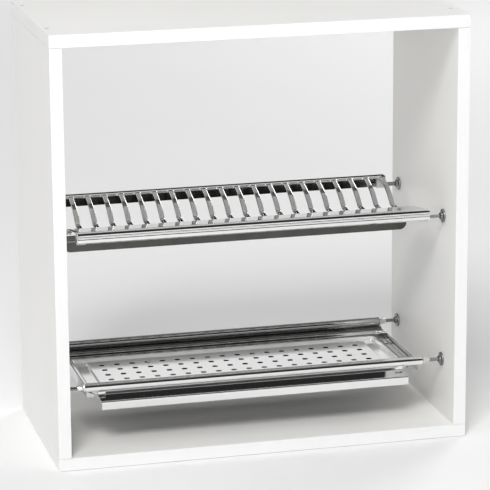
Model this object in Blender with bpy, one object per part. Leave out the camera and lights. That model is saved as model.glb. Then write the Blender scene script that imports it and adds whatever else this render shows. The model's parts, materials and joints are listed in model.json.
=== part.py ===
"""Cabinet dish drainer: an open-backed cabinet with a plate rack over a glass rack.

Lengths are in metres. +X is to the right, +Y to the back and +Z up.
The origin is the middle of the cabinet's footprint, at its underside.
The racks hang on round wall cups by sliding end pins. The perforated glass
tray lifts out of the lower rack, and the drip tray under it slides forward.
"""

import math

import bmesh
import bpy

# Cabinet
CABINET_WIDTH = 0.600
CABINET_DEPTH = 0.303
CABINET_HEIGHT = 0.620
BOARD = 0.018
EDGE_BAND = 0.001

# Fits
GAP = 0.0003
OVERRUN = 0.004
MERGE = 0.00003

# Screws that hold the boards together
SCREW_LENGTH = 0.045
SCREW_HEAD_DIAMETER = 0.008
SCREW_HEAD_HEIGHT = 0.003
SCREW_SHANK_DIAMETER = 0.004
SCREW_RECESS = 0.0005
SCREW_FRONT_SETBACK = 0.062
SCREW_BACK_SETBACK = 0.040

# Wall cups and the pins that sit in them
CUP_DIAMETER = 0.020
CUP_DISC = 0.0025
CUP_HUB_DIAMETER = 0.011
CUP_HUB_LENGTH = 0.003
CUP_FLOOR = 0.0011
CUP_SOCKET_DIAMETER = 0.007
CUP_DOWEL_DIAMETER = 0.005
CUP_DOWEL_LENGTH = 0.010
PIN_DIAMETER = 0.005
PIN_CHAMFER = 0.0006
THIN_PIN_DIAMETER = 0.0042
FLAT_PIN_HEIGHT = 0.0055
FLAT_PIN_THICKNESS = 0.003
PIN_INSIDE_LENGTH = 0.018
FRONT_PIN_SETBACK = 0.0565
BACK_PIN_SETBACK = 0.032
UPPER_PIN_HEIGHT = 0.318
LOWER_PIN_HEIGHT = 0.102

# Plate rack
RACK_END_GAP = 0.024
SHEET = 0.001
RACK_TOP_RISE = 0.0145
TROUGH_DROP = 0.0305
RACK_FRONT_NOSE = 0.0105
RIB_COUNT = 21
RIB_WIDTH = 0.0075
RIB_FLANGE = 0.003
RIB_END_MARGIN = 0.006
RIB_LAP = 0.005
RIB_SINK = 0.0002
RAIL_LAP = 0.011
RAIL_STEP_INSET = 0.0006
RAIL_HEIGHT = 0.0175
BACK_STRIP_DEPTH = 0.014
BACK_STRIP_BEHIND_PIN = 0.005
BACK_FLANGE_HEIGHT = 0.0185
BACK_RAIL_INSET = 0.0015
FLANGE_CORNER = 0.006
BUSH_LENGTH = 0.012
BUSH_WALL = 0.003
BOTTOM_BAR_HEIGHT = 0.0245
BOTTOM_BAR_CORNER = 0.010
BOTTOM_BAR_DEPTH_SHARE = 0.483

# Glass rack
TUBE_DIAMETER = 0.0125
TUBE_WALL = 0.001
PLUG_TAPER = 0.0105
PLUG_PROUD = 0.004
PLUG_TIP_WALL = 0.0011
PLUG_SPIGOT = 0.012
BAR_INSET = 0.010
BAR_RISE = 0.013
LEDGE_WIDTH = 0.0128
LEDGE_DROP = 0.016
APRON_END_INSET = 0.003
APRON_SLOPE_DEPTH = 0.012
APRON_STEEP_DEPTH = 0.002
APRON_SLOPE_FALL = 0.0054
APRON_LEDGE_DEPTH = 0.0142

# Glass tray
TRAY_SHEET = 0.0008
TRAY_SIDE_REST = 0.0043
TRAY_BACK_REST = 0.005
TRAY_RIM = 0.006
TRAY_FRONT_SETBACK = 0.023
GUTTER_DEPTH = 0.0058
GUTTER_WIDTH = 0.0185
PANEL_RISE = 0.0038
TRAY_CORNER = 0.008
HOLE_SIZE = 0.0063
HOLE_PITCH_X = 0.023
HOLE_PITCH_Y = 0.0242

# Drip tray
DRIP_SHEET = 0.0008
DRIP_RIM = 0.0095
DRIP_DEPTH = 0.0135
DRIP_CORNER = 0.010
DRIP_HEADROOM = 0.0014
DRIP_LENGTH = 0.170
DRIP_WALL_INSET = 0.0215
DRIP_PANEL_RISE = 0.0054
DRIP_PANEL_MARGIN = 0.0055
DRIP_PANEL_REACH = 0.032
DRIP_LIP_HEIGHT = 0.012
DRIP_LIP_DROP = 0.0145
STOP_WIDTH = 0.011
STOP_SETBACK = 0.002
STOP_HEIGHT = 0.0062
RUNNER_LENGTH = 0.112
RUNNER_SHELF = 0.018
RUNNER_WEB_INSET = 0.0008

# Numbers of sides on the round pieces
TUBE_SIDES = 20
CUP_SIDES = 16
PIN_SIDES = 12
HOLE_SIDES = 12
ROUND_STEPS = 4
SHARP_ANGLE = math.radians(40)

# Places worked out from the sizes above
INNER_WIDTH = CABINET_WIDTH - 2 * BOARD
WALL_X = INNER_WIDTH / 2
RACK_WIDTH = INNER_WIDTH - 2 * RACK_END_GAP
RACK_END_X = RACK_WIDTH / 2
FRONT_Y = -CABINET_DEPTH / 2
BACK_Y = CABINET_DEPTH / 2
FRONT_PIN_Y = FRONT_Y + FRONT_PIN_SETBACK
BACK_PIN_Y = BACK_Y - BACK_PIN_SETBACK
SIDE_CENTRE_X = (CABINET_WIDTH - BOARD) / 2
CUP_LENGTH = CUP_DISC + CUP_HUB_LENGTH
CUP_BACK_X = WALL_X - GAP
PIN_TIP_X = CUP_BACK_X - CUP_FLOOR - GAP

RACK_FRONT_Y = FRONT_PIN_Y - RACK_FRONT_NOSE
RACK_BACK_Y = BACK_PIN_Y + BACK_STRIP_BEHIND_PIN
RACK_DEPTH = RACK_BACK_Y - RACK_FRONT_Y
RACK_TOP_Z = UPPER_PIN_HEIGHT + RACK_TOP_RISE
TROUGH_Z = RACK_TOP_Z - TROUGH_DROP
RIB_BACK_Y = RACK_BACK_Y - BACK_STRIP_DEPTH
BACK_RAIL_TOP_Z = RACK_TOP_Z - SHEET - GAP
RIB_PITCH = (RACK_WIDTH - 2 * RIB_END_MARGIN) / (RIB_COUNT - 1)

TUBE_RADIUS = TUBE_DIAMETER / 2
TUBE_END_X = RACK_END_X + PLUG_PROUD - PLUG_TAPER
BAR_OUTER_X = RACK_END_X - BAR_INSET
BAR_INNER_X = BAR_OUTER_X - SHEET
LEDGE_Z = LOWER_PIN_HEIGHT - LEDGE_DROP
BAR_TOP_Z = LEDGE_Z + BAR_RISE
LEDGE_INNER_X = BAR_OUTER_X - LEDGE_WIDTH
APRON_TOP_Z = LOWER_PIN_HEIGHT - TUBE_RADIUS - GAP
APRON_STEEP_Y = BACK_PIN_Y - APRON_SLOPE_DEPTH
APRON_FOLD_Y = APRON_STEEP_Y - APRON_STEEP_DEPTH
APRON_FRONT_Y = APRON_FOLD_Y - APRON_LEDGE_DEPTH

TRAY_OUTER_X = LEDGE_INNER_X + TRAY_SIDE_REST
TRAY_BACK_Y = APRON_FRONT_Y + TRAY_BACK_REST
TRAY_FRONT_Y = FRONT_PIN_Y + TRAY_FRONT_SETBACK
TRAY_TOP_Z = LEDGE_Z + GAP + TRAY_SHEET
GUTTER_Z = TRAY_TOP_Z - GUTTER_DEPTH
PANEL_Z = GUTTER_Z + PANEL_RISE

DRIP_RIM_Z = GUTTER_Z - TRAY_SHEET - DRIP_HEADROOM
DRIP_WALL_X = TRAY_OUTER_X - TRAY_RIM - DRIP_WALL_INSET
DRIP_FRONT_Y = TRAY_FRONT_Y + GAP
DRIP_BACK_Y = DRIP_FRONT_Y + DRIP_LENGTH
DRIP_PANEL_X = TRAY_OUTER_X - TRAY_RIM - DRIP_PANEL_MARGIN
DRIP_PANEL_TOP_Z = DRIP_RIM_Z + DRIP_PANEL_RISE

# Outlines as shares: depth from the rack's front edge, then height above the trough
RIB_OUTLINE_SHARES = (
    (0.909, 0.938),
    (0.826, 0.721),
    (0.765, 0.436),
    (0.722, 0.174),
    (0.696, 0.000),
    (0.500, 0.000),
    (0.452, 0.174),
    (0.417, 0.354),
)
RAMP_BACK_SHARES = (0.3696, 0.492)
RAMP_MIDDLE_SHARES = (0.309, 0.567)
RAMP_FRONT_SHARES = (0.052, 0.889)
RIB_BACK_FALL_SHARE = 0.006

# Front rail below the ramp, as shares of its nose's depth and of the rail's height
RAIL_NOSE_SHARES = (
    (1.09, 0.905),
    (0.57, 0.976),
    (0.19, 0.918),
    (0.03, 0.765),
    (0.00, 0.647),
    (0.30, 0.529),
    (0.00, 0.400),
    (0.00, 0.141),
    (0.24, 0.012),
    (0.47, 0.000),
)

# Drip tray's rolled front edge, as shares of its reach and of its lip's height
DRIP_FRONT_SHARES = (
    (0.850, 0.933),
    (0.913, 1.025),
    (0.966, 0.983),
    (0.984, 0.833),
    (1.000, 0.000),
)

FINISHES = {
    "white_board": ((0.83, 0.83, 0.84, 1.0), 0.45, 0.0),
    "white_edge": ((0.93, 0.93, 0.93, 1.0), 0.35, 0.0),
    "zinc": ((0.62, 0.62, 0.62, 1.0), 0.35, 1.0),
    "grey_metal": ((0.45, 0.45, 0.45, 1.0), 0.35, 1.0),
    "steel": ((0.72, 0.72, 0.72, 1.0), 0.12, 1.0),
    "grey_plastic": ((0.60, 0.60, 0.60, 1.0), 0.40, 0.0),
}


def clear_scene():
    for item in list(bpy.data.objects):
        bpy.data.objects.remove(item, do_unlink=True)


def make_material(name, finish):
    colour, roughness, metallic = FINISHES[finish]
    material = bpy.data.materials.new(name)
    material.use_nodes = True
    shader = material.node_tree.nodes["Principled BSDF"]
    shader.inputs["Base Color"].default_value = colour
    shader.inputs["Roughness"].default_value = roughness
    shader.inputs["Metallic"].default_value = metallic
    return material


def mesh_of(shape, name):
    """Turn a bmesh into a mesh whose faces point outwards."""
    mesh = bpy.data.meshes.new(name)
    bmesh.ops.recalc_face_normals(shape, faces=shape.faces)
    shape.to_mesh(mesh)
    shape.free()
    return mesh


def add_object(name, shape, finish, location=(0.0, 0.0, 0.0), smooth=False):
    """Turn a bmesh, or a mesh that pieces share, into a named object with its own material."""
    mesh = shape if isinstance(shape, bpy.types.Mesh) else mesh_of(shape, name)
    piece = bpy.data.objects.new(name, mesh)
    bpy.context.scene.collection.objects.link(piece)
    piece.location = location
    if not mesh.materials:
        mesh.materials.append(None)
    piece.material_slots[0].link = "OBJECT"
    piece.material_slots[0].material = make_material(name, finish)
    if smooth:
        mesh.shade_smooth()
        mesh.set_sharp_from_angle(angle=SHARP_ANGLE)
    return piece


def boolean(piece, cutter_shape, operation="DIFFERENCE"):
    """Cut a bmesh out of a piece, or weld it on, and keep it as a wire guide."""
    mesh = mesh_of(cutter_shape, piece.name + "_cutter")
    cutter = bpy.data.objects.new(mesh.name, mesh)
    bpy.context.scene.collection.objects.link(cutter)
    cutter.hide_render = True
    cutter.display_type = "WIRE"
    modifier = piece.modifiers.new(operation.lower(), "BOOLEAN")
    modifier.operation = operation
    modifier.object = cutter


def prism(outline, axis, low, high):
    """Carry a closed outline along X, or along Y, from low to high."""
    shape = bmesh.new()
    add_prism(shape, outline, axis, low, high)
    return shape


def add_prism(shape, outline, axis, low, high):
    if axis == "X":
        corners = [(low, first, second) for first, second in outline]
        travel = (high - low, 0.0, 0.0)
    else:
        corners = [(first, low, second) for first, second in outline]
        travel = (0.0, high - low, 0.0)
    face = shape.faces.new([shape.verts.new(corner) for corner in corners])
    swept = bmesh.ops.extrude_face_region(shape, geom=[face])
    moved = [item for item in swept["geom"] if isinstance(item, bmesh.types.BMVert)]
    bmesh.ops.translate(shape, vec=travel, verts=moved)


def add_box(shape, low, high):
    """Add a box between two corners to a bmesh."""
    outline = ((low[1], low[2]), (high[1], low[2]), (high[1], high[2]), (low[1], high[2]))
    add_prism(shape, outline, "X", low[0], high[0])


def box(low, high):
    shape = bmesh.new()
    add_box(shape, low, high)
    return shape


def mitres(path):
    """The step at each point that moves the whole path one unit to its left."""
    normals = []
    for start, end in zip(path, path[1:]):
        run = (end[0] - start[0], end[1] - start[1])
        length = math.hypot(*run)
        normals.append((-run[1] / length, run[0] / length))
    steps = [normals[0]]
    for first, second in zip(normals, normals[1:]):
        spread = 1 + first[0] * second[0] + first[1] * second[1]
        steps.append(((first[0] + second[0]) / spread, (first[1] + second[1]) / spread))
    steps.append(normals[-1])
    return steps


def offset_path(path, distance):
    return [
        (point[0] + step[0] * distance, point[1] + step[1] * distance)
        for point, step in zip(path, mitres(path))
    ]


def sheet_outline(path, thickness):
    """The closed outline of a folded sheet whose metal lies to the left of the path."""
    return list(path) + offset_path(path, thickness)[::-1]


def add_turned(shape, profile, centre, sides, direction=1, closed=False):
    """Turn (along, radius) points about a line parallel to X through the centre."""
    verts = [
        shape.verts.new((centre[0] + direction * along, centre[1] + radius, centre[2]))
        for along, radius in profile
    ]
    pairs = list(zip(verts, verts[1:]))
    if closed:
        pairs.append((verts[-1], verts[0]))
    edges = [shape.edges.new(pair) for pair in pairs]
    bmesh.ops.spin(
        shape,
        geom=verts + edges,
        cent=centre,
        axis=(1.0, 0.0, 0.0),
        angle=math.tau,
        steps=sides,
        use_merge=True,
    )
    bmesh.ops.remove_doubles(shape, verts=shape.verts, dist=MERGE)


def turned(profile, sides, closed=False):
    shape = bmesh.new()
    add_turned(shape, profile, (0.0, 0.0, 0.0), sides, closed=closed)
    return shape


def rounded_rectangle(half_x, low_y, high_y, radius):
    """Corner arcs of a rectangle that is centred on X, as (x, y) points."""
    points = []
    corners = (
        (half_x - radius, high_y - radius, 0),
        (radius - half_x, high_y - radius, 1),
        (radius - half_x, low_y + radius, 2),
        (half_x - radius, low_y + radius, 3),
    )
    for centre_x, centre_y, quarter in corners:
        for step in range(ROUND_STEPS + 1):
            angle = (quarter + step / ROUND_STEPS) * math.pi / 2
            points.append((centre_x + radius * math.cos(angle), centre_y + radius * math.sin(angle)))
    return points


def pressed_tray(top_rings, thickness):
    """A pressed sheet: rings of (half width, front, back, corner, height), outer to inner.

    The last ring is closed by a flat face. The under side repeats the rings one
    thickness lower, moved outwards where the sheet stands up.
    """
    shape = bmesh.new()
    loops = []
    for half_x, low_y, high_y, radius, height in top_rings:
        ring = rounded_rectangle(half_x, low_y, high_y, radius)
        loops.append([shape.verts.new((x, y, height)) for x, y in ring])
    under = []
    for index, (half_x, low_y, high_y, radius, height) in enumerate(top_rings):
        shift = wall_shift(top_rings, index) * thickness
        ring = rounded_rectangle(half_x + shift, low_y - shift, high_y + shift, radius + shift)
        under.append([shape.verts.new((x, y, height - thickness)) for x, y in ring])
    for outer, inner in list(zip(loops, loops[1:])) + list(zip(under, under[1:])) + [(loops[0], under[0])]:
        bridge(shape, outer, inner)
    shape.faces.new(loops[-1])
    shape.faces.new(under[-1])
    return shape


def wall_shift(rings, index):
    """1 where the sheet falls inwards at this ring, -1 where it rises, 0 on the free edge."""
    if index == 0:
        return 0
    neighbours = [rings[index][4] - rings[index - 1][4]]
    if index + 1 < len(rings):
        neighbours.append(rings[index + 1][4] - rings[index][4])
    steepest = max(neighbours, key=abs)
    return 1 if steepest < 0 else -1


def bridge(shape, first, second):
    count = len(first)
    for index in range(count):
        after = (index + 1) % count
        shape.faces.new((first[index], first[after], second[after], second[index]))


def lower_corners(shape, end_x, low_z):
    """The edges across a sheet's thickness at both ends of its lowest edge."""
    found = []
    for edge in shape.edges:
        first, second = edge.verts
        across = abs(first.co.x - second.co.x) < GAP and abs(first.co.z - second.co.z) < GAP
        at_end = abs(abs(first.co.x) - end_x) < GAP and abs(first.co.z - low_z) < GAP
        if across and at_end:
            found.append(edge)
    return found


def round_corners(shape, end_x, low_z, radius):
    edges = lower_corners(shape, end_x, low_z)
    bmesh.ops.bevel(shape, geom=edges, offset=radius, segments=ROUND_STEPS, affect="EDGES", profile=0.5)


def height_at(path, depth):
    """Height of a path of (y, z) points where it passes a given y."""
    for (y0, z0), (y1, z1) in zip(path, path[1:]):
        if min(y0, y1) <= depth <= max(y0, y1):
            return z0 + (z1 - z0) * (depth - y0) / (y1 - y0)
    return path[0][1]


# Cabinet pieces


def screw_places():
    """(x, y) of the four screws in the top board, which the bottom board repeats."""
    rows = (FRONT_Y + SCREW_FRONT_SETBACK, BACK_Y - SCREW_BACK_SETBACK)
    return [(side * SIDE_CENTRE_X, row) for side in (-1, 1) for row in rows]


def round_loops(shape, x, y, rings):
    """A closed solid turned about Z through (x, y), from (height, radius) rings."""
    loops = []
    for z, radius in rings:
        loop = []
        for step in range(PIN_SIDES):
            angle = math.tau * step / PIN_SIDES
            loop.append(shape.verts.new((x + radius * math.cos(angle), y + radius * math.sin(angle), z)))
        loops.append(loop)
    for first, second in zip(loops, loops[1:]):
        bridge(shape, first, second)
    shape.faces.new(loops[0])
    shape.faces.new(loops[-1])


def screw_rings(height, up, clearance):
    """Rings of a countersunk screw with its head at height, pointing down for up = 1."""
    head = SCREW_HEAD_DIAMETER / 2 + clearance
    shank = SCREW_SHANK_DIAMETER / 2 + clearance
    return [
        (height, head),
        (height - up * SCREW_HEAD_HEIGHT, shank),
        (height - up * (SCREW_LENGTH + clearance), shank),
    ]


def screw_holes(ends):
    """Cutters for the screw holes of the top (1) and bottom (-1) boards."""
    shape = bmesh.new()
    for x, y in screw_places():
        for up in ends:
            height = CABINET_HEIGHT - SCREW_RECESS if up > 0 else SCREW_RECESS
            rings = screw_rings(height, up, GAP)
            rings.insert(0, (height + up * OVERRUN, rings[0][1]))
            round_loops(shape, x, y, rings)
    return shape


def build_screws():
    shape = bmesh.new()
    round_loops(shape, 0.0, 0.0, screw_rings(0.0, 1, 0.0))
    mesh = mesh_of(shape, "carcass_screw")
    mesh.shade_smooth()
    mesh.set_sharp_from_angle(angle=SHARP_ANGLE)
    words = ("front_left", "back_left", "front_right", "back_right")
    for word, (x, y) in zip(words, screw_places()):
        add_object("top_screw_" + word, mesh, "zinc", (x, y, CABINET_HEIGHT - SCREW_RECESS))
        low = add_object("bottom_screw_" + word, mesh, "zinc", (x, y, SCREW_RECESS))
        low.rotation_euler = (math.pi, 0.0, 0.0)


def flat_board(name, low, high, finish):
    centre = [(a + b) / 2 for a, b in zip(low, high)]
    half = [(b - a) / 2 for a, b in zip(low, high)]
    return add_object(name, box([-h for h in half], half), finish, centre)


def dowel_holes(side):
    """Cutters for the blind holes that take one side's four cup dowels."""
    shape = bmesh.new()
    radius = CUP_DOWEL_DIAMETER / 2 + GAP
    depth = CUP_DOWEL_LENGTH + GAP
    profile = ((-OVERRUN, 0.0), (-OVERRUN, radius), (depth, radius), (depth, 0.0))
    for y in (FRONT_PIN_Y, BACK_PIN_Y):
        for z in (LOWER_PIN_HEIGHT, UPPER_PIN_HEIGHT):
            add_turned(shape, profile, (side * WALL_X, y, z), HOLE_SIDES, direction=side)
    return shape


def build_cabinet():
    half = CABINET_WIDTH / 2
    board_front = FRONT_Y + EDGE_BAND + GAP
    top_low = CABINET_HEIGHT - BOARD
    side_low = BOARD + GAP
    side_high = top_low - GAP
    for name, low_z, up in (("top_board", top_low, 1), ("bottom_board", 0.0, -1)):
        low = (-half, board_front, low_z)
        high = (half, BACK_Y, low_z + BOARD)
        board = flat_board(name, low, high, "white_board")
        boolean(board, screw_holes((up,)))
    for name, side in (("left_side", -1), ("right_side", 1)):
        inner = side * WALL_X
        outer = side * half
        low = (min(inner, outer), board_front, side_low)
        high = (max(inner, outer), BACK_Y, side_high)
        board = flat_board(name, low, high, "white_board")
        boolean(board, screw_holes((1, -1)))
        boolean(board, dowel_holes(side))
    band_back = FRONT_Y + EDGE_BAND
    flat_board("top_edge_band", (-half, FRONT_Y, top_low), (half, band_back, CABINET_HEIGHT), "white_edge")
    flat_board("bottom_edge_band", (-half, FRONT_Y, 0.0), (half, band_back, BOARD), "white_edge")
    flat_board("left_edge_band", (-half, FRONT_Y, side_low), (-WALL_X, band_back, side_high), "white_edge")
    flat_board("right_edge_band", (WALL_X, FRONT_Y, side_low), (half, band_back, side_high), "white_edge")


# Wall cups and pins


def places():
    """Name, side, and front-to-back place of each of a rack's four supports."""
    rows = (("front", FRONT_PIN_Y), ("back", BACK_PIN_Y))
    sides = (("left", -1), ("right", 1))
    return [(row + "_" + word, side, y) for row, y in rows for word, side in sides]


def build_cups():
    """Turned cups, each with a dowel in its board and a socket for a pin."""
    socket = CUP_SOCKET_DIAMETER / 2
    profile = (
        (-CUP_DOWEL_LENGTH, 0.0),
        (-CUP_DOWEL_LENGTH, CUP_DOWEL_DIAMETER / 2),
        (0.0, CUP_DOWEL_DIAMETER / 2),
        (0.0, CUP_DIAMETER / 2),
        (CUP_DISC, CUP_DIAMETER / 2),
        (CUP_DISC, CUP_HUB_DIAMETER / 2),
        (CUP_LENGTH, CUP_HUB_DIAMETER / 2),
        (CUP_LENGTH, socket),
        (CUP_FLOOR, socket),
        (CUP_FLOOR, 0.0),
    )
    mesh = mesh_of(turned(profile, CUP_SIDES), "wall_cup")
    for level, height in (("upper", UPPER_PIN_HEIGHT), ("lower", LOWER_PIN_HEIGHT)):
        for word, side, y in places():
            name = level + "_" + word + "_cup"
            cup = add_object(name, mesh, "grey_metal", (side * CUP_BACK_X, y, height), smooth=True)
            if side > 0:
                cup.rotation_euler = (0.0, 0.0, math.pi)


def round_pin(name, side, y, z, diameter, inner_x):
    """A rod with chamfered ends, whose origin is the middle of the rod."""
    half = (PIN_TIP_X - inner_x) / 2
    radius = diameter / 2
    profile = (
        (-half, 0.0),
        (-half, radius - PIN_CHAMFER),
        (PIN_CHAMFER - half, radius),
        (half - PIN_CHAMFER, radius),
        (half, radius - PIN_CHAMFER),
        (half, 0.0),
    )
    place = (side * (PIN_TIP_X + inner_x) / 2, y, z)
    add_object(name, turned(profile, PIN_SIDES), "grey_metal", place, smooth=True)


def flat_pin(name, side, y, z, inner_x):
    half = (
        (PIN_TIP_X - inner_x) / 2,
        FLAT_PIN_THICKNESS / 2,
        FLAT_PIN_HEIGHT / 2,
    )
    place = (side * (PIN_TIP_X + inner_x) / 2, y, z)
    add_object(name, box([-h for h in half], half), "grey_metal", place)


def build_pins():
    upper_inner = RACK_END_X - PIN_INSIDE_LENGTH
    lower_inner = TUBE_END_X - PIN_INSIDE_LENGTH
    for word, side, y in places():
        upper = "upper_" + word + "_pin"
        if y < 0:
            round_pin(upper, side, y, UPPER_PIN_HEIGHT, THIN_PIN_DIAMETER, upper_inner)
        else:
            flat_pin(upper, side, y, UPPER_PIN_HEIGHT, upper_inner)
        round_pin("lower_" + word + "_pin", side, y, LOWER_PIN_HEIGHT, PIN_DIAMETER, lower_inner)


# Plate rack


def rack_point(depth_share, height_share):
    return (RACK_FRONT_Y + depth_share * RACK_DEPTH, TROUGH_Z + height_share * TROUGH_DROP)


def ramp_path():
    """Top of the continuous ramp, from the ribs' front ends to the front rail."""
    return [rack_point(*shares) for shares in (RAMP_BACK_SHARES, RAMP_MIDDLE_SHARES, RAMP_FRONT_SHARES)]


def rib_path():
    """Top of a rib from the back strip, down through the trough and up to the ramp.

    Each end runs on under the strip that it joins, a little below its top.
    """
    ramp = rack_point(*RAMP_BACK_SHARES)
    path = [(RIB_BACK_Y, RACK_TOP_Z - RIB_SINK - (RACK_TOP_Z - TROUGH_Z) * RIB_BACK_FALL_SHARE)]
    path += [rack_point(*shares) for shares in RIB_OUTLINE_SHARES]
    path.append((ramp[0], ramp[1] - RIB_SINK))
    lapped = ramp[0] - RIB_LAP
    path.append((lapped, height_at(ramp_path(), lapped) - RIB_SINK))
    return path


def rib_rings(shape, centre_x):
    """A folded channel, open below, carried along the rib's path."""
    path = rib_path()
    half = RIB_WIDTH / 2
    section = (
        (-half, RIB_FLANGE),
        (-half, 0.0),
        (half, 0.0),
        (half, RIB_FLANGE),
        (half - SHEET, RIB_FLANGE),
        (half - SHEET, SHEET),
        (SHEET - half, SHEET),
        (SHEET - half, RIB_FLANGE),
    )
    rings = []
    for (y, z), (step_y, step_z) in zip(path, mitres(path)):
        rings.append([shape.verts.new((centre_x + x, y + step_y * d, z + step_z * d)) for x, d in section])
    for first, second in zip(rings, rings[1:]):
        bridge(shape, first, second)
    shape.faces.new(rings[0])
    shape.faces.new(rings[-1])


def build_grid():
    """The pressed sheet: a back strip, the ribs between its slots and the front ramp."""
    strip = ((RACK_BACK_Y, RACK_TOP_Z), (RIB_BACK_Y - RIB_LAP, RACK_TOP_Z))
    shape = prism(sheet_outline(strip, SHEET), "X", -RACK_END_X, RACK_END_X)
    add_prism(shape, sheet_outline(ramp_path(), SHEET), "X", -RACK_END_X, RACK_END_X)
    grid = add_object("plate_rack_grid", shape, "steel")
    ribs = bmesh.new()
    first = -RIB_PITCH * (RIB_COUNT - 1) / 2
    for index in range(RIB_COUNT):
        rib_rings(ribs, first + index * RIB_PITCH)
    boolean(grid, ribs, "UNION")


def front_rail_path():
    """A lap under the ramp, a step up to the nose and the grooved front below it."""
    lap = offset_path(ramp_path(), SHEET + GAP)
    step_y = ramp_path()[-1][0] - GAP
    lap_back_y = step_y + RAIL_LAP
    path = [(lap_back_y, height_at(lap, lap_back_y)), (step_y, height_at(lap, step_y + RAIL_STEP_INSET))]
    nose_low_z = RACK_TOP_Z - RAIL_HEIGHT - SHEET
    for depth_share, height_share in RAIL_NOSE_SHARES:
        path.append((RACK_FRONT_Y + depth_share * RACK_FRONT_NOSE, nose_low_z + height_share * RAIL_HEIGHT))
    return path


def build_front_rail():
    outline = sheet_outline(front_rail_path(), SHEET)
    add_object("plate_rack_front_rail", prism(outline, "X", -RACK_END_X, RACK_END_X), "steel")


def build_back_rail():
    """An angle under the grid's back strip, whose flange hangs behind the pins."""
    low_z = RACK_TOP_Z - BACK_FLANGE_HEIGHT
    high_z = BACK_RAIL_TOP_Z
    path = ((RACK_BACK_Y, low_z), (RACK_BACK_Y, high_z), (RIB_BACK_Y + BACK_RAIL_INSET, high_z))
    shape = prism(sheet_outline(path, SHEET), "X", -RACK_END_X, RACK_END_X)
    round_corners(shape, RACK_END_X, low_z, FLANGE_CORNER)
    add_object("plate_rack_back_rail", shape, "steel")


def build_bottom_bar():
    """A thin upright bar under the trough, with its lower corners rounded."""
    y = RACK_FRONT_Y + BOTTOM_BAR_DEPTH_SHARE * RACK_DEPTH
    high_z = height_at(offset_path(rib_path(), RIB_FLANGE), y + SHEET / 2) - GAP
    low_z = high_z - BOTTOM_BAR_HEIGHT
    shape = box((-RACK_END_X, y - SHEET / 2, low_z), (RACK_END_X, y + SHEET / 2, high_z))
    round_corners(shape, RACK_END_X, low_z, BOTTOM_BAR_CORNER)
    add_object("plate_rack_bottom_bar", shape, "steel")


def bush_box(side, low_y, high_y, low_z, high_z):
    low_x, high_x = sorted((side * (RACK_END_X - BUSH_LENGTH), side * RACK_END_X))
    return (low_x, low_y, low_z), (high_x, high_y, high_z)


def build_bushes():
    """Blocks in the ends of the plate rack's rails that guide its pins."""
    front_half = THIN_PIN_DIAMETER / 2 + BUSH_WALL
    rail_under = offset_path(front_rail_path(), SHEET)
    front_high = height_at(rail_under[:2], FRONT_PIN_Y + front_half) - GAP
    back_half = FLAT_PIN_THICKNESS / 2 + GAP + BUSH_WALL / 2
    back_low = UPPER_PIN_HEIGHT - FLAT_PIN_HEIGHT / 2 - GAP - BUSH_WALL / 2
    bore = THIN_PIN_DIAMETER / 2 + GAP
    length = BUSH_LENGTH + 2 * OVERRUN
    bore_profile = ((0.0, 0.0), (0.0, bore), (length, bore), (length, 0.0))
    slot_y = FLAT_PIN_THICKNESS / 2 + GAP
    slot_z = FLAT_PIN_HEIGHT / 2 + GAP
    for word, side, y in places():
        if y < 0:
            front_low = UPPER_PIN_HEIGHT - front_half
            low, high = bush_box(side, y - front_half, y + front_half, front_low, front_high)
            hole = bmesh.new()
            add_turned(hole, bore_profile, (low[0] - OVERRUN, y, UPPER_PIN_HEIGHT), PIN_SIDES)
        else:
            behind = RACK_BACK_Y - SHEET - GAP
            low, high = bush_box(side, y - back_half, behind, back_low, BACK_RAIL_TOP_Z - SHEET - GAP)
            hole = box(
                (low[0] - OVERRUN, y - slot_y, UPPER_PIN_HEIGHT - slot_z),
                (high[0] + OVERRUN, y + slot_y, UPPER_PIN_HEIGHT + slot_z),
            )
        bush = add_object("upper_" + word + "_bush", box(low, high), "grey_plastic")
        boolean(bush, hole)


# Glass rack


def build_tubes():
    inner = TUBE_RADIUS - TUBE_WALL
    profile = (
        (-TUBE_END_X, inner),
        (-TUBE_END_X, TUBE_RADIUS),
        (TUBE_END_X, TUBE_RADIUS),
        (TUBE_END_X, inner),
    )
    for name, y in (("glass_rack_front_tube", FRONT_PIN_Y), ("glass_rack_back_tube", BACK_PIN_Y)):
        shape = turned(profile, TUBE_SIDES, closed=True)
        add_object(name, shape, "steel", (0.0, y, LOWER_PIN_HEIGHT), smooth=True)


def build_plugs():
    """Tapered plugs in the tube ends, bored for the pins."""
    bore = PIN_DIAMETER / 2 + GAP
    spigot = TUBE_RADIUS - TUBE_WALL - GAP
    profile = (
        (-PLUG_SPIGOT, bore),
        (-PLUG_SPIGOT, spigot),
        (GAP, spigot),
        (GAP, TUBE_RADIUS),
        (PLUG_TAPER, bore + PLUG_TIP_WALL),
        (PLUG_TAPER, bore),
    )
    mesh = mesh_of(turned(profile, CUP_SIDES, closed=True), "tube_plug")
    for word, side, y in places():
        place = (side * TUBE_END_X, y, LOWER_PIN_HEIGHT)
        plug = add_object("lower_" + word + "_plug", mesh, "steel", place, smooth=True)
        if side < 0:
            plug.rotation_euler = (0.0, 0.0, math.pi)


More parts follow.
